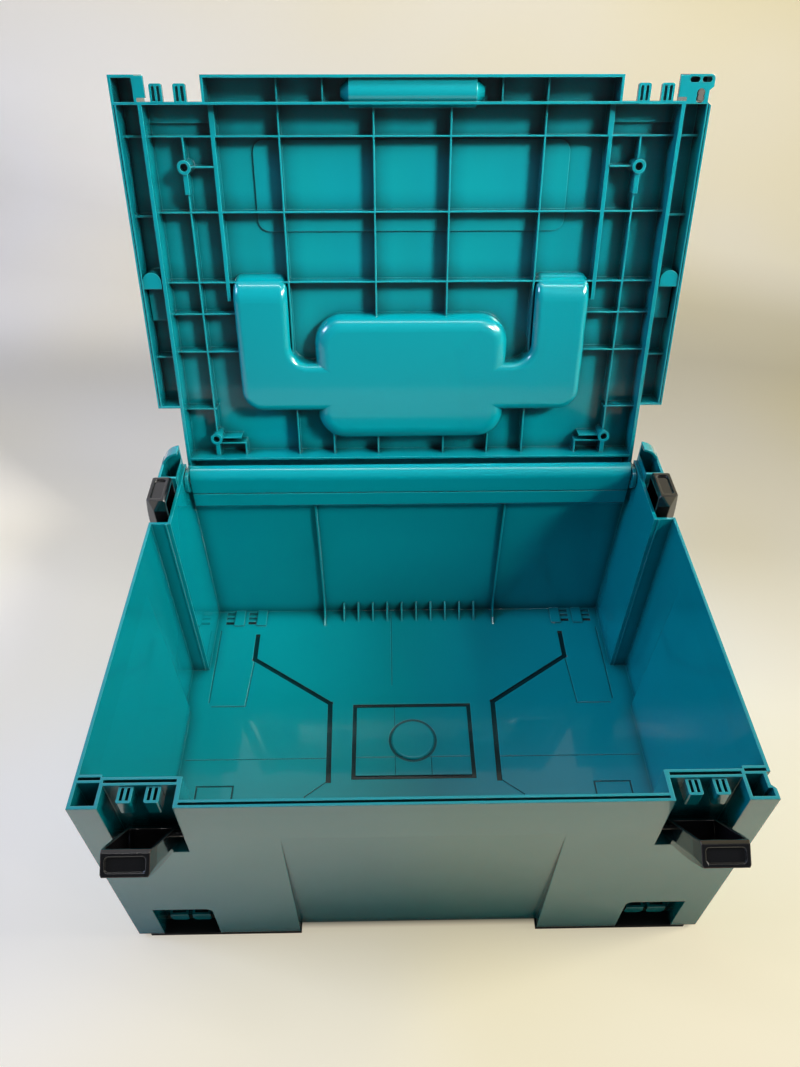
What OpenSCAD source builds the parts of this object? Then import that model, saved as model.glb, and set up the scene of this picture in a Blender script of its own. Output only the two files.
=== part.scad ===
// Hard tool case: a moulded base with four black latches, a ribbed lid on two
// hinge pins, and a carry handle that folds into a well in the lid.
// X points right, Y points back, Z points up. The origin is under the middle of
// the base, on the ground. The lid is drawn closed and then swung open.

/* [Case] */
// Outside width of the case
case_w = 396; // [386:1:420]
// Outside depth of the case
case_d = 296; // [288:1:320]
// Height of the base's rim above the ground
base_h = 189; // [180:1:260]
// Height that the closed lid adds above the rim
lid_h = 21; // [20.5:0.5:25]
// Thickness of the outer walls
wall = 2; // [1.8:0.1:2.3]
// Thickness of the floor
floor_t = 2.5; // [2:0.5:4]
// Height of the feet under the floor
foot_h = 3.5; // [2:0.5:6]
// Depth of the feet, front to back
foot_d = 10; // [6:1:16]
// Length of the feet, left to right
foot_l = 106.5; // [60:0.5:110]

/* [Front corners] */
// Width of the pocket that a front latch folds into
pocket_w = 41.5; // [38:0.5:46]
// Depth of the latch pockets
pocket_depth = 14; // [14:0.5:15]
// Height of a latch pocket's sill below the rim
pocket_drop = 55; // [54:0.5:60]
// Width of the hollow corner post beside the front pocket
post_w = 17; // [14:0.5:20]
// Depth of that corner post
post_d = 17.4; // [16.5:0.1:18.5]
// Thickness of the thin walls around the sealing slot
skin = 1.6; // [1.4:0.1:1.8]
// Width of the sealing slot in the rim
slot_w = 1.9; // [1.5:0.1:2.4]
// Depth of the sealing slot along the front rim
slot_d = 6; // [4:0.5:10]
// Height of the coupling windows above the ground
window_top = 46; // [40:1:52]

/* [Rear corners] */
// Distance of the rear pockets from the front of the case
notch_from_front = 228; // [220:1:232]
// Length of a rear pocket along the side
side_pocket_w = 41; // [38:0.5:44]
// Thickness of the rear side walls
side_wall = 2.4; // [2.2:0.1:2.8]
// Height that the hollow rear posts rise above the rim
post_rise = 8; // [4:0.5:10]
// Radius of the rounded ear behind each rear post
ear_r = 16.5; // [14:0.5:17]

/* [Latches] */
// Width of a latch
latch_w = 28.6; // [28.2:0.2:30]
// Height of a closed latch above its pivot
latch_h = 56.3; // [56.1:0.1:58]
// Radius of the latch's hub
hub_r = 5.6; // [5:0.1:5.7]
// Radius of the latch pins
latch_pin_r = 2; // [1.5:0.1:2.5]
// Thickness of the latch's shell
latch_t = 2.4; // [2:0.1:2.8]
// Angle that a latch swings out to its stop
latch_swing = 39; // [20:1:42]
// Height of the side latches above the level of the front ones
side_latch_lift = 7; // [0:0.5:10]

/* [Hinge] */
// Distance of the hinge axis from the back of the case
hinge_in = 9.8; // [9.5:0.1:11]
// Depth of the hinge axis below the rim
hinge_drop = 9.8; // [9.5:0.1:11]
// Radius of the lid's hinge ears
hinge_ear_r = 9; // [7:0.5:9.5]
// Radius of the hinge pins
hinge_pin_r = 3; // [2:0.1:4]
// Angle that the lid stands open at
lid_open = 105; // [95:1:108]
// Radius of the roll that covers the hinge inside the base
roll_r = 9; // [7:0.5:9]

/* [Lid] */
// Thickness of the lid's top panel
panel_t = 2.2; // [1.8:0.1:3]
// Height of the lid's thin ribs
rib_h = 11; // [6:0.5:15]
// Thickness of the lid's thin ribs
rib_t = 1.1; // [1:0.1:2]
// Distance of the lid's inner side walls from its sides
lid_side_in = 17; // [16.9:0.1:17.2]
// Height of the tubular bosses under the lid's panel
boss_h = 15; // [8:0.5:17]
// Radius of those bosses
boss_r = 4.6; // [4:0.1:5]
// Radius of the hole in a boss
boss_hole_r = 2.6; // [1.5:0.1:2.8]
// Length of the finger grip in the lid's front edge
grip_l = 96; // [60:1:120]
// Radius of the barrel behind that finger grip
grip_r = 9.5; // [8:0.5:9.5]

/* [Carry handle] */
// Length of the handle over its arms
handle_l = 257; // [230:1:270]
// Width of the handle's arms
arm_w = 33; // [26:0.5:36]
// Distance from the handle's pivot to the far side of its bar
handle_reach = 83; // [76:1:88]
// Width of the handle's bar
bar_w = 30; // [24:0.5:32]
// Thickness of the handle
handle_t = 13; // [11:0.5:13.5]
// Radius of the handle's hubs around the pivot pins
arm_hub_r = 7.2; // [6.5:0.1:7.4]
// Radius of the handle's pivot pins
handle_pin_r = 2.5; // [2:0.1:3]
// Length of the soft grip on the bar
soft_grip_l = 124; // [80:1:150]
// Angle that the handle hangs clear of its well
handle_hang = 15; // [0:1:30]
// Gap between the handle and the walls of its well
well_gap = 1.5; // [1:0.1:2.5]
// Length of the wider hand hollow in the well
hand_l = 144; // [110:1:160]
// Width of the hand hollow
hand_w = 95; // [80:1:100]

/* [Hidden] */
$fn = 64;
over = 1;            // how far a cut runs past the face it opens
press = 0.03;        // radial room of a pin in the wall that holds it
running = 0.08;      // radial room of a pin in the piece that turns on it
pin_seat = 1.2;      // depth of a latch pin's blind seat in the pocket walls
teal = "#00858C";
black = "#17181A";
steel = "#8D9194";

hw = case_w / 2;
hd = case_d / 2;
floor_top = foot_h + floor_t;
sill = base_h - pocket_drop;
inner_wall = skin + slot_w + skin;
groove_w = 4.2;
groove_d = floor_t * 0.74;
foot_end = hw - 8;
rest_r = 20;         // level pad under the middle of the floor
disc_r = 18.3;       // raised disc in the middle of the floor
disc_y = 3;

// Front corners: the pocket runs from pocket_x to post_x, the post on to hw
post_x = hw - post_w;
pocket_x = post_x - pocket_w;
pocket_mid = pocket_x + pocket_w / 2;
cheek = 2.5;
pocket_back = -hd + pocket_depth;
post_back = -hd + post_d;
post_floor = 58;

// Rear corners: the pocket runs back from notch_y to post_y
notch_y = notch_from_front - hd;
post_y = notch_y + side_pocket_w;
side_x = hw - pocket_depth;
side_in = side_x - side_wall;
side_mid = notch_y + side_pocket_w / 2;
rear_slots = [side_in - 16, side_in - 37];

// Latches
pivot_in = pocket_depth - 6;
pivot_up = 7;
front_pivot_z = sill + pivot_up;
side_pivot_z = front_pivot_z + side_latch_lift;
latch_face_r = 174;
latch_belly = 10.9;
latch_cheek = 1.8;

// Hooking blocks, the same for the base, the lid and the coupling windows
block_w = 8.4;
block_pitch = 15.5;
block_d = 10;
block_slot = 1.8;

// Coupling windows at the foot of each corner, and the cups inside them
window_turn = 5;
cup_w = 12.6;
cup_front = 6 - hd;
cup_low = 12;
cup_top = 21;

// Hinge and lid
hinge_y = hd - hinge_in;
hinge_z = base_h - hinge_drop;
lid_gap = 0.3;
lid_low = base_h + lid_gap;
lid_top = base_h + lid_h;
panel_low = lid_top - panel_t;
lid_side = hw - lid_side_in;
ear_t = 2.6;
roll_x = lid_side - ear_t - 0.8;
roll_y = hd - 3.8;
roll_z = base_h - 8;
roll_foot = base_h - 39;
lid_wall = 1.8;
lid_row = pocket_back + 1.6 + lid_wall;
lid_rear = hd - 25.2;
pad_half = 110.5;
boss_x = 156.3;
side_boss_y = lid_row + 114;
boss_rows = [lid_row + 38.1, lid_rear - 15];
pad_near = lid_row + 22;
pad_far = lid_row + 82;

// Handle and its well
handle_y = -3;
well_floor = lid_top - 18;
handle_z = well_floor + arm_hub_r + 1;
arm_out = handle_l / 2;
arm_in = arm_out - arm_w;
bar_far = handle_y + handle_reach;
bar_near = bar_far - bar_w;
well_out = arm_out + well_gap;
well_in = arm_in - well_gap;
well_far = bar_far + well_gap + 0.5;
well_near = bar_near - well_gap;
well_end = handle_y + 2;
bend_r = 16;
hand_y = (well_near + well_far) / 2 - 5.6;

module both() {
    children();
    mirror([1, 0, 0]) children();
}

module box(x0, x1, y0, y1, z0, z1) {
    translate([x0, y0, z0]) cube([x1 - x0, y1 - y0, z1 - z0]);
}

// A plan outline given for the right half, mirrored to the left
module mirrored_plan(z0, z1, points) {
    left = [for (i = [len(points) - 1:-1:0]) [-points[i][0], points[i][1]]];
    translate([0, 0, z0]) linear_extrude(z1 - z0) polygon(concat(points, left));
}

// A profile drawn in Y and Z, extruded along X from x0 to x1
module along_x(x0, x1) {
    translate([x0, 0, 0]) rotate([90, 0, 90]) linear_extrude(x1 - x0) children();
}

// A profile drawn in X and Z, extruded along Y from y0 to y1
module along_y(y0, y1) {
    translate([0, y1, 0]) rotate([90, 0, 0]) linear_extrude(y1 - y0) children();
}

module rod_x(x0, x1, y, z, r) {
    translate([x0, y, z]) rotate([0, 90, 0]) cylinder(r = r, h = x1 - x0);
}

module rod_y(y0, y1, x, z, r) {
    translate([x, y0, z]) rotate([-90, 0, 0]) cylinder(r = r, h = y1 - y0);
}

module round_plan(w, d, r) {
    square([w - 2 * r, d], center = true);
    square([w, d - 2 * r], center = true);
    for (x = [-1, 1], y = [-1, 1]) translate([x * (w / 2 - r), y * (d / 2 - r)]) circle(r);
}

// ---- Base -------------------------------------------------------------------

// Inside of the tub, seen from above
module tub_space() {
    front_in = pocket_back + inner_wall;
    post_in = post_back + slot_w + skin;
    mirrored_plan(floor_top, base_h + over, [
        [0, -hd + wall], [pocket_x - cheek, -hd + wall], [pocket_x - cheek, front_in],
        [post_x + skin, front_in], [post_x + skin, post_in], [hw - wall, post_in],
        [hw - wall, notch_y - wall], [side_in, notch_y - wall], [side_in, hd - wall],
        [0, hd - wall]]);
}

// Window in an outer wall, seen from outside, its inner top corner rounded
module window_shape(x0, x1) {
    translate([x0, foot_h - over]) square([x1 - x0, window_top - window_turn - foot_h + over]);
    translate([x0 + window_turn, window_top - window_turn - 0.1])
        square([x1 - x0 - window_turn, window_turn + 0.1]);
    translate([x0 + window_turn, window_top - window_turn]) circle(window_turn);
}

// Latch pocket, sealing slots, post and coupling window of the right front corner
module front_corner_cuts() {
    slot_z = sill + wall;
    slot_back = pocket_back + skin + slot_w;
    cell_z = window_top + skin;
    box(pocket_x, post_x, -hd - over, pocket_back, sill, base_h + over);
    box(pocket_x + 0.4, post_x + 0.3, pocket_back + skin, slot_back, slot_z, base_h + over);
    box(post_x + wall + 0.3, hw - wall, post_back, post_back + slot_w, slot_z, base_h + over);
    box(post_x + wall, hw - wall, -hd + wall, post_back - skin, -over, post_floor - wall);
    box(pocket_x + 0.4, post_x, -hd + wall, slot_back, cell_z, sill - wall);
    box(pocket_x + 0.4, post_x, pocket_back, slot_back, -over, cell_z + over);
    box(pocket_x + 0.8, post_x - 0.8, -hd + wall, pocket_back - skin, foot_h - over, window_top);
    along_y(-hd - over, -hd + wall + over) window_shape(pocket_x + 0.8, post_x - 0.8);
    rod_x(pocket_x - pin_seat, post_x + pin_seat, -hd + pivot_in, front_pivot_z,
        latch_pin_r + press);
}

// Two open-topped cups inside a coupling window, which the latch below hooks into
module window_cups() {
    cup_back = pocket_back - skin;
    for (s = [-1, 1]) translate([pocket_mid + s * block_pitch / 2, 0, 0]) difference() {
        union() {
            box(-cup_w / 2, cup_w / 2, cup_front, cup_back + 0.1, cup_low + 3, cup_top);
            box(-cup_w / 2 + 3, cup_w / 2 - 3, cup_front, cup_back + 0.1, cup_low, cup_top);
            for (t = [-1, 1]) rod_y(cup_front, cup_back + 0.1, t * (cup_w / 2 - 3), cup_low + 3, 3);
        }
        box(-cup_w / 2 + skin, cup_w / 2 - skin, cup_front + skin, cup_back, cup_low + 2,
            cup_top + over);
    }
}

// The hollow of a front post, plain on the left and stepped round a notch on the right
module front_post_hollow(notched) {
    x1 = notched ? hw - wall - 2.6 : hw - wall;
    box(post_x + wall, x1, -hd + wall, post_back - skin, post_floor, base_h + over);
    if (notched) box(post_x + wall, hw - wall, -hd + wall, -hd + 7, post_floor, base_h + over);
}

// Recess in the outer side of the right post, which the lock tab lines up with
module post_notch() {
    translate([0, 0, base_h - 34]) linear_extrude(35) polygon([
        [hw - 2.5, -hd + 9], [hw + over, -hd + 5.5], [hw + over, -hd + 17], [hw - 2.5, -hd + 17]]);
}

// Latch pocket, post and coupling window of the right rear corner
module rear_corner_cuts() {
    box(side_x, hw + over, notch_y, post_y, sill + side_latch_lift, base_h + over);
    box(side_x, hw - wall, notch_y, post_y, foot_h - over, sill + side_latch_lift - wall);
    rotate([0, 0, 90]) along_y(-hw - over, -hw + wall + over)
        window_shape(notch_y + 0.8, post_y - 0.8);
    box(side_x, hw - wall, post_y + wall, hd - wall, -over, post_floor - wall);
    box(side_x, hw - wall, post_y + wall, hd - wall, post_floor, base_h + post_rise + over);
    rod_y(notch_y - pin_seat, post_y + pin_seat, hw - pivot_in, side_pivot_z,
        latch_pin_r + press);
    rod_x(side_in - over, side_x + over, hinge_y, hinge_z, hinge_pin_r + press);
}

// Rounded ear that closes the stack height behind a rear post
module rear_ear() {
    cx = side_in;
    cz = lid_top - 18;
    intersection() {
        union() {
            rod_y(hd - wall, hd, cx, cz, ear_r);
            difference() {
                rod_y(hd - 10, hd, cx, cz, ear_r);
                rod_y(hd - 10 - over, hd + over, cx, cz, ear_r - wall);
            }
        }
        box(side_x, hw + over, hd - 11, hd + over, base_h + post_rise - over, lid_top);
    }
}

// Two slotted blocks that a latch closes over
module hook_blocks(y0, y1, z0, z1, slot_low, slot_high) {
    for (s = [-1, 1]) translate([pocket_mid + s * block_pitch / 2, 0, 0]) difference() {
        union() {
            box(-block_w / 2, block_w / 2, y0 + 1.5, y1, z0, z1);
            box(-block_w / 2 + 1.5, block_w / 2 - 1.5, y0, y1, z0, z1);
            for (t = [-1, 1]) translate([t * (block_w / 2 - 1.5), y0 + 1.5, z0])
                cylinder(r = 1.5, h = z1 - z0);
        }
        for (t = [-1, 1]) translate([t * block_slot * 0.95, 0, 0])
            box(-block_slot / 2, block_slot / 2, y0 + 1.6, y1 - 0.8, slot_low, slot_high);
    }
}

// The roll over the hinge: a curved wall that leans in from the top of the back wall
module hinge_roll() {
    front = roll_y - roll_r;
    back = front + wall + 0.2;
    along_x(-roll_x, roll_x) {
        intersection() {
            difference() {
                translate([roll_y, roll_z]) circle(roll_r);
                translate([roll_y, roll_z]) circle(roll_r - wall - 0.2);
            }
            translate([front - over, roll_z]) square([roll_r + over, roll_r + over]);
        }
        difference() {
            polygon([[hd - wall, roll_foot - 3], [front + 2, roll_foot + 2], [front, roll_foot + 5],
                     [front, roll_z], [back, roll_z], [back, roll_foot + 7],
                     [hd, roll_foot + 1], [hd, roll_foot - 3]]);
            translate([front - over, roll_foot + 17.5]) square([over + 0.8, 1]);
        }
    }
}

// Fins and gussets where the back wall stands on the floor
module rear_stiffeners() {
    fin_x = 80;
    gusset_step = 13.75;
    both() along_x(fin_x - skin / 2, fin_x + skin / 2)
        polygon([[hd - wall, floor_top], [hd - 21, floor_top], [hd - 14, floor_top + 3],
                 [hd - 8, floor_top + 10], [hd - wall - 3.5, floor_top + 22],
                 [hd - wall - 3.5, roll_foot - 4], [hd - wall, roll_foot]]);
    for (i = [-4.5:1:4.5]) along_x(i * gusset_step - skin / 2, i * gusset_step + skin / 2)
        polygon([[hd - wall, floor_top], [hd - 16, floor_top], [hd - wall - 1, floor_top + 12],
                 [hd - wall, floor_top + 12]]);
    both() for (x = rear_slots) box(x - 9, x, hd - 20, hd - wall, floor_top, floor_top + 1.2);
}

// A groove in the floor from point a to point b
module floor_line(a, b, w, depth) {
    run = b - a;
    translate([a[0], a[1], floor_top - depth]) rotate([0, 0, atan2(run[1], run[0])])
        translate([-w / 2, -w / 2, 0]) cube([norm(run) + w, w, depth + over]);
}

// Grooves, the framed panel and the raised disc in the floor
module floor_grooves() {
    route = [[142, 116], [142, 89], [71, 40.5], [69.5, -33]];
    both() for (i = [0:len(route) - 2]) floor_line(route[i], route[i + 1], groove_w, groove_d);
    both() {
        floor_line([142, 89], [145, 38.5], 1, 0.6);
        floor_line([145, 38.5], [174, 38.5], 1, 0.6);
        floor_line([177, 43], [177, 122], 1, 0.6);
        floor_line([71, -13], [188, -13], 0.8, 0.5);
        floor_line([69.5, -33], [88, -47], 1, 0.8);
        floor_line([88, -47], [88, -hd + 24], 0.8, 0.5);
        for (x = [146, 175]) floor_line([x, -37], [x, -hd + 26], 1.4, 0.9);
        floor_line([146, -37], [175, -37], 1.4, 0.9);
        for (x = rear_slots, y = [hd - 18, hd - 12.5, hd - 7])
            box(x + 0.8, x + 8.2, y, y + 3.2, floor_top - groove_d, floor_top + 9);
    }
    floor_line([-17, 59], [-17, hd - 6], 0.8, 0.5);
    floor_line([-15, 38], [-15, -29], 0.8, 0.5);
    floor_line([15, -13], [15, -29], 0.8, 0.5);
    floor_line([-48, -12.5], [48, -12.5], 0.8, 0.5);
    difference() {
        box(-51, 51, -32.5, 39, floor_top - groove_d, floor_top + over);
        box(-47.5, 47.5, -29, 35.5, floor_top - 2, floor_top + 2 * over);
    }
    difference() {
        translate([0, disc_y, floor_top - 1]) cylinder(r = disc_r + 2, h = 1 + over);
        translate([0, disc_y, floor_top - 2]) cylinder(r = disc_r, h = 4);
    }
}

// Wedge panels: the walls lean in towards the floor between two upright steps
module front_wedge(side) {
    top = base_h - 39;
    lean = 6;
    shift = side == "out" ? 0 : wall;
    along_x(-84 - shift, 84 + shift)
        polygon([[-hd - over + shift, top], [-hd + shift, top], [-hd + lean + shift, foot_h - over],
                 [-hd - over + shift, foot_h - over]]);
}

module side_wedge(side) {
    top = base_h - 28;
    lean = 5;
    shift = side == "out" ? 0 : wall;
    both() along_y(-hd + 41 - shift, notch_y - 48 + shift)
        polygon([[hw + over - shift, top], [hw - shift, top], [hw - lean - shift, foot_h - over],
                 [hw + over - shift, foot_h - over]]);
}

module base_tub() {
    color(teal) {
        both() {
            hook_blocks(pocket_back - block_d, pocket_back + 0.1, base_h - 13, base_h - 1.5,
                base_h - 11, base_h);
            window_cups();
        }
        base_walls();
    }
}

module base_walls() {
    difference() {
        union() {
            difference() {
                mirrored_plan(foot_h, base_h, [[0, -hd], [hw, -hd], [hw, hd], [0, hd]]);
                tub_space();
                box(-side_in, side_in, hd - 14, hd + over, roll_foot, base_h + over);
            }
            both() box(side_x - 0.01, hw, post_y, hd, base_h - over, base_h + post_rise);
            both() rear_ear();
            intersection() {
                front_wedge("in");
                box(-hw, hw, -hd, 0, foot_h, base_h);
            }
            intersection() {
                side_wedge("in");
                box(-hw, hw, -hd, hd, foot_h, base_h);
            }
            box(-pocket_x + cheek - over, pocket_x - cheek + over, -hd + wall - over,
                -hd + wall + slot_w + skin - 0.7, base_h - slot_d - 2, base_h);
            both() step_bead();
            translate([0, disc_y, floor_top - 1]) cylinder(r = disc_r, h = 1.6);
            translate([0, disc_y, floor_top + 0.6])
                cylinder(r1 = disc_r, r2 = disc_r - 1.2, h = 1.2);
            hinge_roll();
            rear_stiffeners();
            cylinder(r = rest_r, h = foot_h + over);
        }
        both() front_corner_cuts();
        both() rear_corner_cuts();
        mirror([1, 0, 0]) front_post_hollow(false);
        front_post_hollow(true);
        post_notch();
        front_wedge("out");
        side_wedge("out");
        box(-pocket_x + cheek, pocket_x - cheek, -hd + skin, -hd + skin + slot_w - 0.3,
            base_h - slot_d, base_h + over);
        floor_grooves();
    }
}

// Upright bead on the step between the side wall and the rear side wall
module step_bead() {
    box(side_in + 3, side_in + 4.4, notch_y - wall - 0.7, notch_y - wall + 0.1, floor_top,
        base_h);
}

// Right foot; y0 is its front side
module foot(y0) {
    color(black) box(foot_end - foot_l, foot_end, y0, y0 + foot_d, 0, foot_h);
}

// ---- Latches ----------------------------------------------------------------

// Sides of a latch: they lean in near its tip and towards its outer face, clear of the blocks
module latch_sides(inset) {
    half = latch_w / 2 - inset;
    low = -hub_r - over;
    bend = latch_h - 9.5 + 2 * inset;
    intersection() {
        along_y(-20, 20) polygon([[-half, low], [half, low], [half, bend],
            [half - 1.1, latch_h], [1.1 - half, latch_h], [-half, bend]]);
        translate([0, 0, low]) linear_extrude(latch_h - low) polygon([[3 - half, -latch_belly],
            [half - 3, -latch_belly], [half, -4.6], [half, 20], [-half, 20], [-half, -4.6]]);
    }
}

// One latch, pivot on the X axis, closed, its outer face towards -Y
module latch() {
    inner = pocket_depth - pivot_in - 0.4;
    module side_view() {
        intersection() {
            translate([latch_face_r - latch_belly, 27]) circle(latch_face_r, $fn = 256);
            polygon([[-20, 4], [inner, 4], [inner, latch_h - 1.6], [inner - 1.6, latch_h],
                     [-20, latch_h]]);
        }
    }
    difference() {
        intersection() {
            along_x(-latch_w / 2, latch_w / 2) {
                side_view();
                circle(hub_r);
                polygon([[-9.2, 4.1], [-4.6, -4.25], [hub_r - 0.1, 3], [hub_r - 0.1, 4.1]]);
            }
            latch_sides(0);
        }
        intersection() {
            along_x(-latch_w / 2, latch_w / 2) intersection() {
                translate([latch_face_r - latch_belly, 27])
                    circle(latch_face_r - latch_t, $fn = 256);
                translate([-20, 9]) square([40, latch_h - 9 - 3.3]);
            }
            latch_sides(latch_cheek);
        }
        translate([0, (inner - 1.6 - pivot_in) / 2, latch_h - 1.5])
            linear_extrude(1.5 + over) round_plan(latch_w - 6.8, pivot_in + inner - 5.2, 2);
        rod_x(-latch_w, latch_w, 0, 0, latch_pin_r + running);
    }
}

module front_latch() {
    color(black) translate([pocket_mid, -hd + pivot_in, front_pivot_z])
        rotate([latch_swing, 0, 0]) latch();
}

module side_latch() {
    color(black) translate([hw - pivot_in, side_mid, side_pivot_z]) rotate([0, 0, 90]) latch();
}

module front_latch_pin() {
    color(black) rod_x(pocket_x - pin_seat + 0.1, post_x + pin_seat - 0.1, -hd + pivot_in,
        front_pivot_z, latch_pin_r);
}

module side_latch_pin() {
    color(black) rod_y(notch_y - pin_seat + 0.1, post_y + pin_seat - 0.1, hw - pivot_in,
        side_pivot_z, latch_pin_r);
}

// ---- Lid --------------------------------------------------------------------

module lid_pose() {
    translate([0, hinge_y, hinge_z]) rotate([-lid_open, 0, 0])
        translate([0, -hinge_y, -hinge_z]) children();
}

// A thin rib hanging from the panel
module lid_rib(x0, x1, y0, y1) {
    box(x0, x1, y0, y1, panel_low - rib_h, panel_low + 0.1);
}

module rib_row(x0, x1, y) {
    lid_rib(x0, x1, y - rib_t / 2, y + rib_t / 2);
}

module rib_column(x, y0, y1) {
    lid_rib(x - rib_t / 2, x + rib_t / 2, y0, y1);
}

// Hollow cells between the lid's walls, for the right half
module lid_cells() {
    z0 = lid_low - over;
    side_out = hw - lid_wall - 1;
    box(-0.1, pocket_x - lid_wall - 0.9, -hd + lid_wall, lid_row - skin, z0, panel_low);
    box(-0.1, lid_side - ear_t, lid_row, lid_rear, z0, panel_low);
    box(-0.1, lid_side - ear_t, lid_rear + lid_wall, hd - lid_wall, z0, panel_low);
    box(lid_side, side_out, post_back, notch_y - lid_wall, z0, panel_low);
}

// Hollow of a front corner, out to x1
module corner_cell(x1) {
    box(post_x + lid_wall, x1, -hd + lid_wall, post_back - skin, lid_low - over, panel_low);
}

// Groove along the lower edge of the lid's outer side wall
module skirt_groove() {
    box(hw - 2, hw - 1.2, post_back, notch_y - lid_wall, lid_low - over, lid_low + 2.5);
}

module lid_walls() {
    difference() {
        mirrored_plan(lid_low, lid_top, [
            [0, -hd], [pocket_x - 1, -hd], [pocket_x - 1, pocket_back + 1.6],
            [post_x, pocket_back + 1.6], [post_x, -hd], [hw, -hd], [hw, notch_y],
            [lid_side, notch_y], [lid_side, hd], [0, hd]]);
        both() lid_cells();
        both() skirt_groove();
        mirror([1, 0, 0]) corner_cell(hw - lid_wall);
        corner_cell(hw - lid_wall - 2.6);
    }
}

module lid_ribs() {
    cols = [26.3, 90.5];
    side_in_x = lid_side - ear_t + 0.1;
    for (y = [lid_row + 19.2, lid_row + 67.6, lid_row + 116]) rib_row(-side_in_x, side_in_x, y);
    both() {
        for (y = [8.5, 37.2]) rib_row(well_out, side_in_x, y);
        rib_row(154, side_in_x, well_far + 1.4);
        for (x = cols) rib_column(x, lid_row - 0.1, lid_rear + 0.1);
        rib_column(156, lid_row + 19.2, lid_rear + 0.1);
        lid_rib(134, 136.6, lid_row - 0.1, well_end);
        rib_column(134, lid_rear - 10, lid_rear + 0.1);
        rib_column(62, well_far, lid_rear + 0.1);
        rib_row(134, 156, lid_rear - 10);
        rib_column(pocket_x - 6, lid_row - 0.1, lid_row + 19.2);
        for (y = [lid_row + 19.2, lid_row + 70, lid_row + 119, notch_y - 39])
            lid_rib(lid_side - 0.1, hw - lid_wall, y - 0.7, y + 0.7);
        for (x = [60, 90.5]) rib_column(x, -hd + lid_wall - 0.1, lid_row - skin + 0.1);
    }
}

// Boss in each side channel, its front end rounded, with a sunk step behind a cross rib
module side_bosses() {
    r = 6.6;
    both() translate([hw - lid_wall - 0.9 - r, side_boss_y, 0]) {
        intersection() {
            translate([0, 0, lid_low + 1]) cylinder(r = r, h = lid_h);
            box(-r, r, -r, 4, lid_low + 1, panel_low + 0.1);
        }
        box(-r, r, 0, 5, lid_low + 1, panel_low + 0.1);
        box(-r, r - 1, 4, 30, panel_low - rib_h + 2, panel_low + 0.1);
    }
}

// Raised bare pad behind the upper ribs, and the thicker strips beside the latch notches
module lid_pads() {
    r = 8;
    low = panel_low - 1.5;
    translate([0, (pad_near + pad_far) / 2, low]) linear_extrude(1.6)
        round_plan(2 * pad_half, pad_far - pad_near, r);
    both() box(134, lid_side - ear_t + 0.1, lid_row - 0.1, lid_row + 11.5, panel_low - 2.5,
        panel_low + 0.1);
}

// Four tubular bosses with a short tail rib and a gusset down the long rib behind them
module lid_bosses() {
    low = panel_low - boss_h;
    both() for (y = boss_rows) translate([boss_x, y, 0]) {
        translate([0, 0, low]) cylinder(r = boss_r, h = boss_h + 0.1);
        box(-boss_r - 15, 1 - boss_r, -0.6, 0.6, low + 3, panel_low + 0.1);
        box(-1.6, 1.6, 0, boss_r + 13, low + 2, panel_low + 0.1);
    }
}

module boss_holes() {
    both() for (y = boss_rows)
        translate([boss_x, y, panel_low - boss_h - over]) cylinder(r = boss_hole_r, h = boss_h - 6);
}

// Section of a wall-to-floor edge: w wide, h high, its outer lower corner rounded by r
module edge_section(w, h, r) {
    translate([0, r]) square([w, h - r]);
    square([w - r, h]);
    intersection() {
        translate([w - r, r]) circle(r);
        translate([w - r, 0]) square(r);
    }
}

// Straight rounded edge from the origin along +X, its outer face towards -Y
module edge_run(length, w, h, r) {
    along_x(0, length) translate([w, 0]) mirror([1, 0]) edge_section(w, h, r);
}

// Slab with upright corners of radius big_r and lower edges of radius r
module soft_slab(w, d, h, big_r, r) {
    box(-w / 2 + big_r, w / 2 - big_r, -d / 2 + big_r, d / 2 - big_r, 0, h);
    for (s = [0, 180]) rotate([0, 0, s]) {
        translate([-w / 2 + big_r, -d / 2, 0]) edge_run(w - 2 * big_r, big_r, h, r);
        rotate([0, 0, 90]) translate([-d / 2 + big_r, -w / 2, 0])
            edge_run(d - 2 * big_r, big_r, h, r);
        for (side = [[0, w, d], [90, d, w]]) rotate([0, 0, side[0]])
            translate([side[1] / 2 - big_r, side[2] / 2 - big_r, 0])
            rotate_extrude(angle = 90) edge_section(big_r, h, r);
    }
}

// Half of the U-shaped well, from the middle of its cross part to the arm's front end
module well_arm(x0, x1, near, far, bend, turn, front_r, h, r) {
    mid = (x0 + x1) / 2;
    ring = r + 2;
    translate([x1 - turn, far, 0]) rotate([0, 0, 180]) edge_run(x1 - turn, turn, h, r);
    translate([x1 - turn, far - turn, 0]) rotate_extrude(angle = 90) edge_section(turn, h, r);
    translate([x1, well_end, 0]) rotate([0, 0, 90])
        edge_run(far - turn - well_end, x1 - mid, h, r);
    translate([0, near, 0]) edge_run(x0 - bend, turn, h, r);
    translate([x0, near - bend, 0]) rotate([0, 0, -90])
        edge_run(near - bend - well_end, mid - x0, h, r);
    translate([x0 - bend, near - bend, 0]) rotate_extrude(angle = 90)
        translate([bend + ring, 0]) mirror([1, 0]) edge_section(ring, h, r);
    difference() {
        box(x0 - bend, mid, near - bend, near + turn, 0, h);
        translate([x0 - bend, near - bend, -over]) cylinder(r = bend + ring, h = h + 2 * over);
    }
    box(0, mid, near + turn, far - turn, 0, h);
    box(x0, x1, well_end - front_r, well_end, front_r, h);
    translate([mid, well_end, front_r]) rotate([0, 90, 0]) mirror([0, 1, 0])
        for (s = [0, 1]) mirror([0, 0, s]) rotate_extrude(angle = 90) translate([front_r, 0])
            rotate([0, 0, 90]) edge_section(mid - x0, front_r, r);
}

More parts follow.
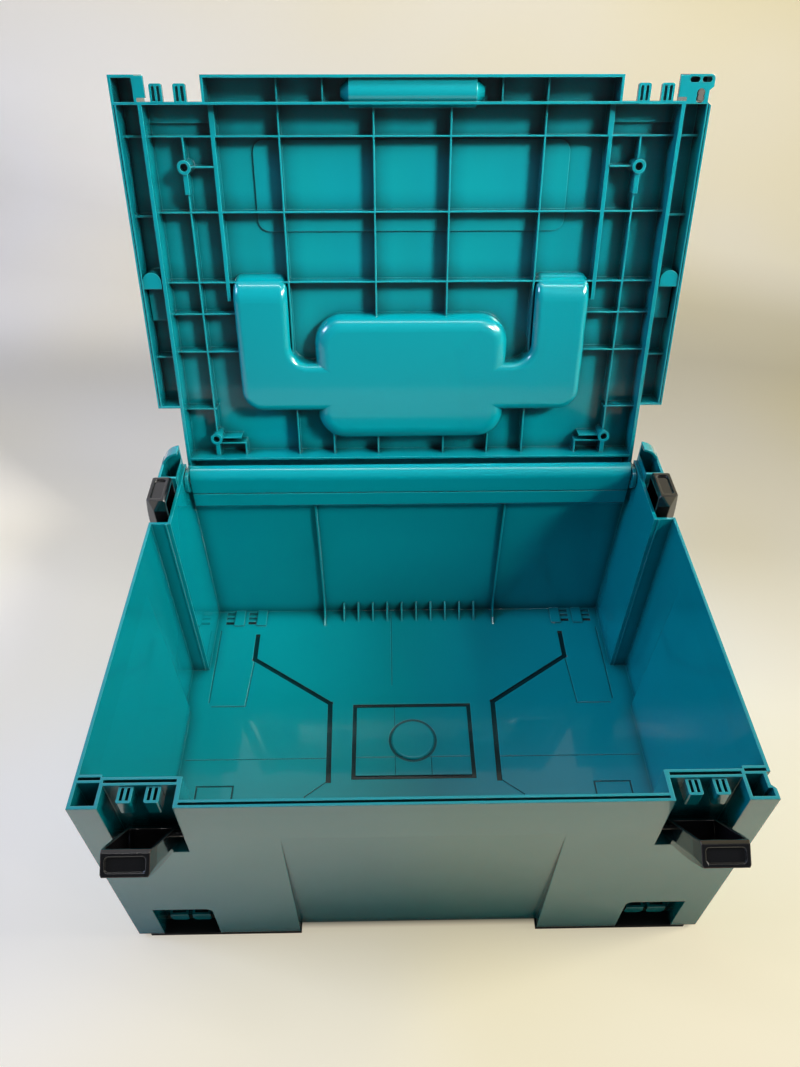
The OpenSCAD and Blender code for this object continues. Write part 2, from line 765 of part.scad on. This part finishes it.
// The well that the handle folds into; grow turns the hollow into its outer shell
module handle_well(grow) {
    h = (grow > 0 ? lid_top - 0.2 : lid_top + over) - well_floor + grow;
    translate([0, 0, well_floor - grow]) {
        translate([0, hand_y, 0])
            soft_slab(hand_l + 2 * grow, hand_w + 2 * grow, h, 20 + grow, 9 + grow);
        both() well_arm(well_in - grow, well_out + grow, well_near - grow, well_far + grow,
            bend_r - grow, 14 + grow, bend_r + grow, h, 3.5 + grow);
    }
}

// Barrel behind the finger grip, and the grip's hollow; both ends slope in
module grip_barrel(grow, cut) {
    y = -hd + 10.5;
    z = lid_low + grip_r + 1.2;
    r = grip_r - 2 + grow;
    half = grip_l / 2 - 2 + grow;
    slope = r * 0.6;
    translate([0, y, z]) rotate([0, 90, 0]) rotate_extrude()
        polygon([[0, -half], [r - slope, -half], [r, slope - half], [r, half - slope],
                 [r - slope, half], [0, half]]);
    if (cut) box(slope - half, half - slope, -hd - over, y, z - r * 0.75, z + r * 0.75);
    else box(slope - half, half - slope, -hd + 0.1, y, z - r * 0.85, panel_low + 0.1);
}

// Tabs in the latch notches, and the flat strike plates beside them
module lid_tabs() {
    both() hook_blocks(pocket_back - 9, pocket_back + 2.1, lid_low, lid_low + 3, lid_low - over,
        lid_low + 2);
    both() box(pocket_mid + latch_w / 2 + 0.6, post_x + 0.1, -hd + 0.6, pocket_back - 0.6,
        lid_low, lid_low + 2);
}

// Plate with three obround holes that closes the right front corner of the lid
module obround(w, d) {
    r = min(w, d) / 2;
    square([max(w - 2 * r, 0.01), d > w ? d - 2 * r : d], center = true);
    for (s = [-1, 1]) translate(w > d ? [s * (w / 2 - r), 0] : [0, s * (d / 2 - r)]) circle(r);
}

module lock_tab() {
    box(post_x + 0.1, hw - 0.1, -hd + 0.1, post_back - skin + 0.1, lid_low, lid_low + wall);
}

module lock_tab_cuts() {
    r = 3;
    for (s = [-1, 1]) translate([post_x + 7.8 + s * 4, -hd + 3.1, lid_low - over])
        linear_extrude(wall + 2 * over) obround(6.5, 3.3);
    translate([post_x + 8.9, -hd + 12.6, lid_low - over]) linear_extrude(lid_h + 2 * over)
        obround(5.6, 8.6);
    translate([0, 0, lid_low - over]) linear_extrude(lid_h + 2 * over) polygon([
        [hw - 2.6, -hd + 9.5], [hw + over, -hd + 6.5], [hw + over, -hd + 19], [hw - 2.6, -hd + 16.3]]);
    difference() {
        box(hw - r, hw + over, -hd - over, -hd + r, lid_low - over, lid_top + over);
        translate([hw - r, -hd + r, lid_low - 2 * over]) cylinder(r = r, h = lid_h + 4 * over);
    }
}

module hinge_ears() {
    both() {
        rod_x(lid_side - ear_t, lid_side, hinge_y, hinge_z, hinge_ear_r);
        box(lid_side - ear_t, lid_side, hinge_y - hinge_ear_r, hinge_y + hinge_ear_r,
            hinge_z, lid_low + 1);
    }
}

module lid_shell() {
    color(teal) lid_pose() difference() {
        union() {
            lid_walls();
            lid_ribs();
            lid_pads();
            lid_bosses();
            side_bosses();
            lid_tabs();
            lock_tab();
            hinge_ears();
            handle_well(wall);
            grip_barrel(2, false);
        }
        handle_well(0);
        grip_barrel(0, true);
        boss_holes();
        lock_tab_cuts();
        rod_x(-hw, hw, hinge_y, hinge_z, hinge_pin_r + running);
        both() rod_x(well_in - 1.5, well_out + 1.5, handle_y, handle_z, handle_pin_r + press);
    }
}

// Hinge pin: its head sits inside the hollow rear post
module hinge_pin() {
    color(steel) {
        rod_x(lid_side - ear_t - 0.4, side_x + 0.1, hinge_y, hinge_z, hinge_pin_r);
        rod_x(side_x + 0.1, side_x + 1.8, hinge_y, hinge_z, hinge_pin_r + 1.6);
    }
}

// ---- Carry handle -----------------------------------------------------------

// The handle lies in its well and then swings about its pins to hang plumb
module handle_pose() {
    lid_pose() translate([0, handle_y, handle_z]) rotate([handle_hang, 0, 0])
        translate([0, -handle_y, -handle_z]) children();
}

// Outline of the U-shaped handle from above
module handle_plan() {
    turn = 13;
    inner = bend_r + well_gap;
    both() {
        translate([arm_in, handle_y]) square([arm_w, bar_far - turn - handle_y]);
        translate([0, bar_near]) square([arm_out - turn, bar_w]);
        translate([arm_out - turn, bar_far - turn]) circle(turn);
        translate([arm_in - inner, bar_near - inner]) difference() {
            square(inner + 0.1);
            circle(inner);
        }
    }
}

module handle_frame() {
    z0 = handle_z - handle_t / 2;
    grip_x = soft_grip_l / 2;
    color(black) handle_pose() difference() {
        union() {
            translate([0, 0, z0]) linear_extrude(handle_t) handle_plan();
            both() rod_x(arm_in, arm_out, handle_y, handle_z, arm_hub_r);
        }
        difference() {
            box(-grip_x, grip_x, bar_near - over, bar_far + over, z0 - over, z0 + handle_t + over);
            bar_core(over);
        }
        rod_x(-hw, hw, handle_y, handle_z, handle_pin_r + running);
    }
}

// Slim middle of the bar, which the soft grip is moulded round
module bar_core(extra) {
    along_x(-soft_grip_l / 2 - extra, soft_grip_l / 2 + extra)
        translate([(bar_near + bar_far) / 2, handle_z]) round_plan(bar_w - 5, handle_t - 5, 3);
}

module handle_grip() {
    color("#26282B") handle_pose() difference() {
        along_x(-soft_grip_l / 2, soft_grip_l / 2)
            translate([(bar_near + bar_far) / 2, handle_z]) round_plan(bar_w + 0.6, handle_t, 5);
        bar_core(over);
    }
}

module handle_pin() {
    color(steel) lid_pose()
        rod_x(well_in - 1.4, well_out + 1.4, handle_y, handle_z, handle_pin_r);
}

base_tub();
lid_shell();
handle_frame();
handle_grip();
mirror([1, 0, 0]) handle_pin();  // handle_pin_left
handle_pin();  // handle_pin_right
mirror([1, 0, 0]) hinge_pin();  // hinge_pin_left
hinge_pin();  // hinge_pin_right
mirror([1, 0, 0]) front_latch();  // front_latch_left
front_latch();  // front_latch_right
mirror([1, 0, 0]) side_latch();  // side_latch_left
side_latch();  // side_latch_right
mirror([1, 0, 0]) front_latch_pin();  // front_latch_pin_left
front_latch_pin();  // front_latch_pin_right
mirror([1, 0, 0]) side_latch_pin();  // side_latch_pin_left
side_latch_pin();  // side_latch_pin_right
mirror([1, 0, 0]) foot(-hd);  // front_foot_left
foot(-hd);  // front_foot_right
mirror([1, 0, 0]) foot(hd - foot_d);  // rear_foot_left
foot(hd - foot_d);  // rear_foot_right
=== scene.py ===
# %% [markdown]
# # A hard tool case, dressed for its picture
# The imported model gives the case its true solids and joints. This lesson gives it
# its moulded plastic, its small surface detail, a camera and a soft studio.

# %% Load the frame
import math
import bpy
from mathutils import Matrix, Vector


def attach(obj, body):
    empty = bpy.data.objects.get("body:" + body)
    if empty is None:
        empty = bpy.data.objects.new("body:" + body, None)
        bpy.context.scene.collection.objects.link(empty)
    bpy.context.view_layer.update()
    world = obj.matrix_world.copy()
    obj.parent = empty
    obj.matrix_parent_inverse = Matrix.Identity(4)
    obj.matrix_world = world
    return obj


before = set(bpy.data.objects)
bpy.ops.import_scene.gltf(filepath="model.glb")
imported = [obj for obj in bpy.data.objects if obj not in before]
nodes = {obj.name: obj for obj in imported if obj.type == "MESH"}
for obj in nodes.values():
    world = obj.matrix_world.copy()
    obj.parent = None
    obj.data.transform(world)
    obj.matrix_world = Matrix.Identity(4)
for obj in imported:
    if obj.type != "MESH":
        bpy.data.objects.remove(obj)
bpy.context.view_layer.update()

case_w, case_d = 0.396, 0.296  # the tub's footprint
half_x, half_y = case_w / 2, case_d / 2

# %% [markdown]
# ## The camera
# It is held over the case's front edge and looks down into it at about 45 degrees.
# A wide lens makes the front rim look much wider than the lid behind it, so the
# camera's distance and lens matter more to the likeness than any small part.

# %% Set the camera
focal_px, frame_px, sensor_mm = 815.375, 1067, 36
camera_place = (-0.019322, -0.363699, 0.612013)
camera_yaw, camera_pitch, camera_roll = 0.021, 0.778, 0.005

def aim(yaw, pitch, roll):
    """The turn of a camera from its yaw, its pitch downwards and its roll."""
    fwd = Vector((math.sin(yaw) * math.cos(pitch),
                  math.cos(yaw) * math.cos(pitch),
                  -math.sin(pitch)))
    right = Vector((math.cos(yaw), -math.sin(yaw), 0))
    up = right.cross(fwd)
    r = right * math.cos(roll) + up * math.sin(roll)
    u = up * math.cos(roll) - right * math.sin(roll)
    return Matrix((r, u, -fwd)).transposed()

cam = bpy.data.cameras.new("camera")
cam.sensor_fit = "VERTICAL"
cam.sensor_height = sensor_mm
cam.lens = focal_px / frame_px * sensor_mm
cam_obj = bpy.data.objects.new("camera", cam)
turn = aim(camera_yaw, camera_pitch, camera_roll)
cam_obj.matrix_world = Matrix.Translation(camera_place) @ turn.to_4x4()
bpy.context.collection.objects.link(cam_obj)
bpy.context.scene.camera = cam_obj
print("lens:", round(cam.lens, 2), "mm")

# %% [markdown]
# ## The card
# The case stands on pale card that curves up behind it, so there is no horizon.
# It is a flat strip, a quarter turn in short steps, and a strip going up. Smooth
# shading hides the steps.

# %% Make the card
def mesh_object(name, verts, faces, smooth=False):
    """A new mesh object, linked into the scene."""
    mesh = bpy.data.meshes.new(name)
    mesh.from_pydata(verts, [], faces)
    if smooth:
        mesh.shade_smooth()
    obj = bpy.data.objects.new(name, mesh)
    bpy.context.collection.objects.link(obj)
    return obj

card_near, card_top, card_side = -3.0, 3.0, 4.0
bend_y, bend_r, steps = 0.55, 0.6, 16
profile = [(card_near, 0.0), (bend_y, 0.0)]
for step in range(1, steps + 1):
    angle = math.pi / 2 * step / steps
    profile.append((bend_y + bend_r * math.sin(angle), bend_r - bend_r * math.cos(angle)))
profile.append((bend_y + bend_r, card_top))
verts = [(x, y, z) for y, z in profile for x in (-card_side, card_side)]
faces = [(2 * i, 2 * i + 1, 2 * i + 3, 2 * i + 2) for i in range(len(profile) - 1)]
card = mesh_object("card", verts, faces, True)
print("card:", len(faces), "faces")

# %% [markdown]
# ## Node helpers
# Every material here is a small tree of nodes. These helpers make one node each,
# feed it with sockets or plain numbers, and hand back its output, so that a
# material reads like a formula.

# %% Make the node helpers
def node_material(name):
    """An empty node material, its tree and its principled shader."""
    mat = bpy.data.materials.new(name)
    mat.use_nodes = True
    return mat, mat.node_tree, mat.node_tree.nodes["Principled BSDF"]

def feed(tree, value, socket):
    """Link a socket to a socket, or write a plain value into it."""
    if isinstance(value, bpy.types.NodeSocket):
        tree.links.new(value, socket)
    else:
        socket.default_value = value

def calc(tree, operation, *values):
    """The result of one math node."""
    node = tree.nodes.new("ShaderNodeMath")
    node.operation = operation
    for value, socket in zip(values, node.inputs):
        feed(tree, value, socket)
    return node.outputs["Value"]

def remap(tree, value, start, end, low=0.0, high=1.0):
    """A value turned into low at start and high at end, and held beyond them."""
    node = tree.nodes.new("ShaderNodeMapRange")
    sockets = ("Value", "From Min", "From Max", "To Min", "To Max")
    for name, fed in zip(sockets, (value, start, end, low, high)):
        feed(tree, fed, node.inputs[name])
    return node.outputs["Result"]

def noise(tree, place, scale, detail=2.0):
    """Soft noise over a place."""
    node = tree.nodes.new("ShaderNodeTexNoise")
    for name, fed in (("Vector", place), ("Scale", scale), ("Detail", detail)):
        feed(tree, fed, node.inputs[name])
    return node.outputs["Fac"]

def ramp(tree, value, stops):
    """A colour that runs through stops, each of them a position and a colour."""
    node = tree.nodes.new("ShaderNodeValToRGB")
    elements = node.color_ramp.elements
    for element, (position, colour) in zip(list(elements), (stops[0], stops[-1])):
        element.position = position
        element.color = (*colour, 1)
    for position, colour in stops[1:-1]:
        elements.new(position).color = (*colour, 1)
    feed(tree, value, node.inputs["Fac"])
    return node.outputs["Color"]

def parts_of(tree, vector):
    """The X, Y and Z of a vector."""
    node = tree.nodes.new("ShaderNodeSeparateXYZ")
    feed(tree, vector, node.inputs["Vector"])
    return node.outputs

def object_place(tree):
    """Where a point lies on its own object, in metres."""
    return tree.nodes.new("ShaderNodeTexCoord").outputs["Object"]

def reach(tree, place, half_x, half_y):
    """How far out a place lies: 1 on the edge of a centred rectangle, and more beyond it."""
    shares = [calc(tree, "ABSOLUTE", calc(tree, "DIVIDE", place[axis], half))
              for axis, half in (("X", half_x), ("Y", half_y))]
    return calc(tree, "MAXIMUM", *shares)

# %% [markdown]
# ## The card's colour, its glow and their painted light
# The card is grey at the left and warms towards the right, where daylight falls: that warmth is
# painted light, mixed with a random cloud.
# Lamps strong enough to turn card pale would burn out the plastic, so the card
# also glows towards the camera. The glow carries painted shade: it dips in the bend,
# where real card falls into shade, and is cut under the case. The case's gloss also
# shows it as a painted reflection, darkest close to the case, so its front fades
# towards the floor.

# %% Colour the card
glow_start, glow_end, glow_skew = 0.1, 1.15, 0.2
# The glow dips in the bend: painted shade, slanted a little with X.
glow_and_bend_shade_tones = [(0.0, 0.8), (0.19, 0.45), (0.38, 0.30), (0.54, 0.25), (0.65, 0.42), (0.76, 0.80),
              (1.0, 1.1)]
# No glow under the case: painted shade there.
shade_under_case_inner, shade_under_case_outer = 0.94, 0.98  # shares of the footprint
# The case mirrors the glow as a painted reflection, faded close to the case as painted shade.
mirror_near, mirror_far, painted_reflection_glow = 1.03, 1.5, 0.8
card_left, card_right = (0.60, 0.59, 0.61), (0.60, 0.525, 0.33)
daylight_lean, cloud_scale = 0.35, 1.6

card_mat, tree, shader = node_material("pale_card")
place = object_place(tree)
spot = parts_of(tree, place)
# Painted warm daylight: the card's colour warms towards the right, with a random cloud.
painted_daylight = calc(tree, "MULTIPLY_ADD", spot["X"], daylight_lean, noise(tree, place, cloud_scale))
card_colour = ramp(tree, painted_daylight, [(0.2, card_left), (0.8, card_right)])

away = reach(tree, spot, half_x, half_y)
ray = tree.nodes.new("ShaderNodeLightPath").outputs
# Painted reflection: glossy rays see the glow, less of it close to the case.
painted_reflection = calc(tree, "MULTIPLY", ray["Is Glossy Ray"],
                remap(tree, away, mirror_near, mirror_far, 0.0, painted_reflection_glow))
depth = calc(tree, "MULTIPLY_ADD", spot["X"], glow_skew, spot["Y"])
sweep = remap(tree, depth, glow_start, glow_end)
tone = ramp(tree, sweep, [(position, (grey, grey, grey)) for position, grey in glow_and_bend_shade_tones])
glow = calc(tree, "MULTIPLY_ADD", ray["Is Camera Ray"], tone, painted_reflection)
# Painted shade: the glow is cut under the case.
glow = calc(tree, "MULTIPLY", glow, remap(tree, away, shade_under_case_inner, shade_under_case_outer))

for name, value in (("Base Color", card_colour), ("Emission Color", card_colour),
                    ("Emission Strength", glow), ("Roughness", 0.75)):
    feed(tree, value, shader.inputs[name])
card.data.materials.append(card_mat)
print("card material:", len(tree.nodes), "nodes")

# %% [markdown]
# ## The lamps
# A narrow warm lamp in front at the right throws the lid ribs' short shadows. A
# warm lamp at the right and a cool one at the left light the inside walls, and a
# long strip overhead keeps the tub's floor readable. The room itself stays dark,
# so the plastic keeps its colour.

# %% Hang the lamps
def area_light(name, place, target, size, power, colour, spread=180):
    """A rectangular soft lamp at a place, turned to a target."""
    light = bpy.data.lights.new(name, "AREA")
    light.spread = math.radians(spread)
    light.shape = "RECTANGLE"
    light.size, light.size_y = size
    light.energy = power
    light.color = colour
    obj = bpy.data.objects.new(name, light)
    obj.location = place
    obj.rotation_euler = (Vector(target) - Vector(place)).to_track_quat("-Z", "Y").to_euler()
    bpy.context.collection.objects.link(obj)
    return obj

area_light("key_right", (1.0, -0.62, 1.35), (0.0, 0.21, 0.39), (0.34, 0.34), 1.0,
           (1.0, 0.97, 0.93), 25)
area_light("side_right", (1.35, 0.0, 1.1), (-0.1, 0, 0.1), (0.4, 0.4), 4.2,
           (1.0, 0.97, 0.86), 90)
area_light("side_left", (-1.35, 0.0, 1.1), (0.1, 0, 0.1), (0.4, 0.4), 3.1,
           (0.50, 0.62, 1.0), 90)
area_light("strip", (-0.05, -0.05, 2.0), (0, 0.1, 0.1), (1.7, 0.1), 5.8,
           (1.0, 0.99, 0.97))

world = bpy.data.worlds.new("room")
world.use_nodes = True
background = world.node_tree.nodes["Background"]
background.inputs["Color"].default_value = (0.9, 0.95, 1.0, 1)
background.inputs["Strength"].default_value = 0.08
bpy.context.scene.world = world
bpy.context.scene.view_settings.view_transform = "Standard"

# %% [markdown]
# ## Edges, corners and grooves of the plastic, and their painted light
# Every moulded edge has a small radius, which would catch a thin bright line. The
# bevel node rounds the shading alone, so the solids stay true, and where its
# normal leaves the flat one the plastic is drawn paler: a painted highlight on
# each edge. Corners are darkened by the occlusion node: painted shade where
# less light reaches. The shallow grooves in the tub's floor get more painted
# shade: they are found by height, inside the tub and on faces that don't look down.

# %% Colour edges, corners and grooves
line_start, line_end, highlight_share = 0.985, 0.80, 0.75
corner_size, corner_tone, corner_dark, corner_open = 0.014, 0.25, 0.3, 0.92
groove_low, groove_high, groove_tone = 0.0044, 0.0057, 0.12
floor_x, floor_y = 0.93 * half_x, 0.91 * half_y

def rounded_normal(tree, radius):
    """The normal as if each edge had a small radius."""
    node = tree.nodes.new("ShaderNodeBevel")
    node.samples = 6
    node.inputs["Radius"].default_value = radius
    return node.outputs["Normal"]

def painted_edge_highlights(tree, colour, line, rounded, flat):
    """The colour with a painted highlight, paler where the rounded normal leaves the flat one."""
    agree = tree.nodes.new("ShaderNodeVectorMath")
    agree.operation = "DOT_PRODUCT"
    feed(tree, rounded, agree.inputs[0])
    feed(tree, flat, agree.inputs[1])
    mix = tree.nodes.new("ShaderNodeMix")
    mix.data_type = "RGBA"
    share = remap(tree, agree.outputs["Value"], line_start, line_end, 0.0, highlight_share)
    for name, value in (("Factor", share), ("A", colour), ("B", (*line, 1))):
        feed(tree, value, mix.inputs[name])
    return mix.outputs["Result"]

def painted_corner_shade(tree):
    """Painted shade: 1 in the open, and darker in corners."""
    node = tree.nodes.new("ShaderNodeAmbientOcclusion")
    node.samples = 6
    node.inputs["Distance"].default_value = corner_size
    return remap(tree, node.outputs["AO"], corner_dark, corner_open, corner_tone, 1.0)

def painted_groove_shade(tree, place, flat):
    """Painted shade: 1 everywhere but in the grooves of the tub's floor."""
    spot = parts_of(tree, place)
    # Painted shade: darker low in the floor's grooves, spared outside the floor and on faces
    # looking down.
    tone = remap(tree, spot["Z"], groove_low, groove_high, groove_tone, 1.0)
    beyond = remap(tree, reach(tree, spot, floor_x, floor_y), 0.98, 1.02)
    below = calc(tree, "LESS_THAN", parts_of(tree, flat)["Z"], -0.5)
    return calc(tree, "MAXIMUM", tone, calc(tree, "MAXIMUM", beyond, below))

print("corner size:", corner_size, "m")

# %% [markdown]
# ## Moulded plastic
# The shell is glossy injection-moulded polypropylene. Its mould was polished, so
# it mirrors the lights, but the wall is never quite flat: a slow waviness bends
# the highlights, a fine grain softens them and handling leaves faint scuffs.

# %% Make the plastics
drift_scale, scuff_scale, wave_scale, grain_scale = 6, 18, 14, 900
scuff, coat_rough = 0.03, 0.05
wave, wave_depth, grain_depth = 0.02, 0.004, 0.0004

def bump(tree, height, strength, distance, normal):
    """A normal, tilted by a height."""
    node = tree.nodes.new("ShaderNodeBump")
    for name, value in (("Strength", strength), ("Distance", distance),
                        ("Height", height), ("Normal", normal)):
        feed(tree, value, node.inputs[name])
    return node.outputs["Normal"]

def moulded(name, dark, light, rough, grain=0.012, coat=0.0, edge=0.0006, line=None,
            grooves=False):
    """Plastic with colour drift, painted edge highlights, painted corner shade, waviness, grain
    and scuffs.
    """
    mat, tree, shader = node_material(name)
    place = object_place(tree)
    rounded = rounded_normal(tree, edge)
    flat = tree.nodes.new("ShaderNodeNewGeometry").outputs["Normal"]

    colour = ramp(tree, noise(tree, place, drift_scale, 3), [(0.3, dark), (0.7, light)])
    # Painted highlight: edges drawn paler.
    colour = painted_edge_highlights(tree, colour, line or light, rounded, flat)
    # Painted shade in corners and, on the tub, in its floor grooves.
    strength = painted_corner_shade(tree)
    if grooves:
        strength = calc(tree, "MULTIPLY", strength, painted_groove_shade(tree, place, flat))
    shade = tree.nodes.new("ShaderNodeVectorMath")
    shade.operation = "SCALE"
    feed(tree, colour, shade.inputs["Vector"])
    feed(tree, strength, shade.inputs["Scale"])

    scuffs = remap(tree, noise(tree, place, scuff_scale, 6), 0.45, 0.8, rough, rough + scuff)
    wavy = bump(tree, noise(tree, place, wave_scale), wave, wave_depth, rounded)
    grainy = bump(tree, noise(tree, place, grain_scale), grain, grain_depth, wavy)
    for socket, value in (("Base Color", shade.outputs["Vector"]), ("Roughness", scuffs),
                          ("Normal", grainy), ("Coat Normal", wavy),
                          ("Coat Weight", coat), ("Coat Roughness", coat_rough)):
        feed(tree, value, shader.inputs[socket])
    return mat

# pale, and the black's edge colour below, are the colours of painted edge highlights.
pale = (0.06, 0.62, 0.66)
teal = moulded("teal_plastic", (0.0, 0.30, 0.345), (0.0, 0.32, 0.37), 0.24, coat=0.9, line=pale)
# teal_tub is the lid's teal drawn a little brighter, as painted light, with painted groove shade.
tub = moulded("teal_tub", (0.0, 0.33, 0.38), (0.0, 0.35, 0.405), 0.24, coat=0.9, edge=0.0009,
              line=pale, grooves=True)
black = moulded("black_plastic", (0.006, 0.006, 0.007), (0.011, 0.011, 0.012), 0.12, coat=1.0,
                edge=0.0011, line=(0.09, 0.085, 0.08))
soft = moulded("soft_sleeve", (0.010, 0.010, 0.011), (0.018, 0.018, 0.019), 0.62, grain=0.4)
rubber = moulded("dark_rubber", (0.008, 0.008, 0.008), (0.014, 0.014, 0.014), 0.7, grain=0.3)
print("plastics:", [m.name for m in (teal, tub, black, soft, rubber)])

# %% [markdown]
# ## Steel pins
# The hinge and handle pins are blackened steel, drawn along their length, so
# their scratches run with them.

# %% Make the steel
steel, tree, shader = node_material("drawn_steel")
stretch = tree.nodes.new("ShaderNodeMapping")
stretch.inputs["Scale"].default_value = (60, 900, 900)
feed(tree, object_place(tree), stretch.inputs["Vector"])
scratches = noise(tree, stretch.outputs["Vector"], 1)
steel_colour = ramp(tree, scratches, [(0.0, (0.05, 0.052, 0.055)), (1.0, (0.10, 0.103, 0.108))])
for name, value in (("Base Color", steel_colour), ("Metallic", 1.0), ("Roughness", 0.5)):
    feed(tree, value, shader.inputs[name])
print("steel:", steel.name)

# %% [markdown]
# ## Finish the solid pieces
# The tub and the lid share one plastic, though the tub's copy is drawn a little brighter as
# painted light, and only the tub has grooves darkened with painted shade.
# The latches, their pins and the handle's frame share the black one.

# %% Assign the plastics
finish = {"base_tub": tub, "lid_shell": teal, "handle_grip": soft}
for name in nodes:
    if "hinge_pin" in name or "handle_pin" in name:
        finish[name] = steel
    if "foot" in name:
        finish[name] = rubber

for name, obj in nodes.items():
    obj.data.materials.clear()
    obj.data.materials.append(finish.get(name, black))
print("finished nodes:", len(nodes))

# %% [markdown]
# ## Webs under the hinge ears
# A small upright web closes the opening below each hinge ear, where the roll ends
# short of the side wall. Its upper edge is bevelled forwards, clear of the ear's
# round end, and it is joined to the tub, so it rides with it.

# %% Add the hinge webs
web_inner, web_outer = 0.168, 0.1818  # from behind the roll's end into the side wall
web_front, web_back, web_lip = 0.1460, 0.1472, 0.1466
web_foot, web_top, web_bevel = 0.1495, 0.1655, 0.0015

def hinge_web(name, side):
    """A bevelled web in the back wall's plane, run along X between the roll and the side wall."""
    outline = [(web_front, web_foot), (web_back, web_foot), (web_back, web_top),
               (web_lip, web_top), (web_front, web_top - web_bevel)]
    verts = [(side * x, y, z) for x in (web_inner, web_outer) for y, z in outline]
    count = len(outline)
    faces = [(i, (i + 1) % count, count + (i + 1) % count, count + i) for i in range(count)]
    faces += [tuple(reversed(range(count))), tuple(range(count, 2 * count))]
    if side < 0:
        faces = [tuple(reversed(face)) for face in faces]
    web = mesh_object(name, verts, faces)
    web.data.materials.append(tub)
    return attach(web, "base")

webs = [hinge_web("hinge_web_left", -1), hinge_web("hinge_web_right", 1)]
print("webs:", [web.name for web in webs])
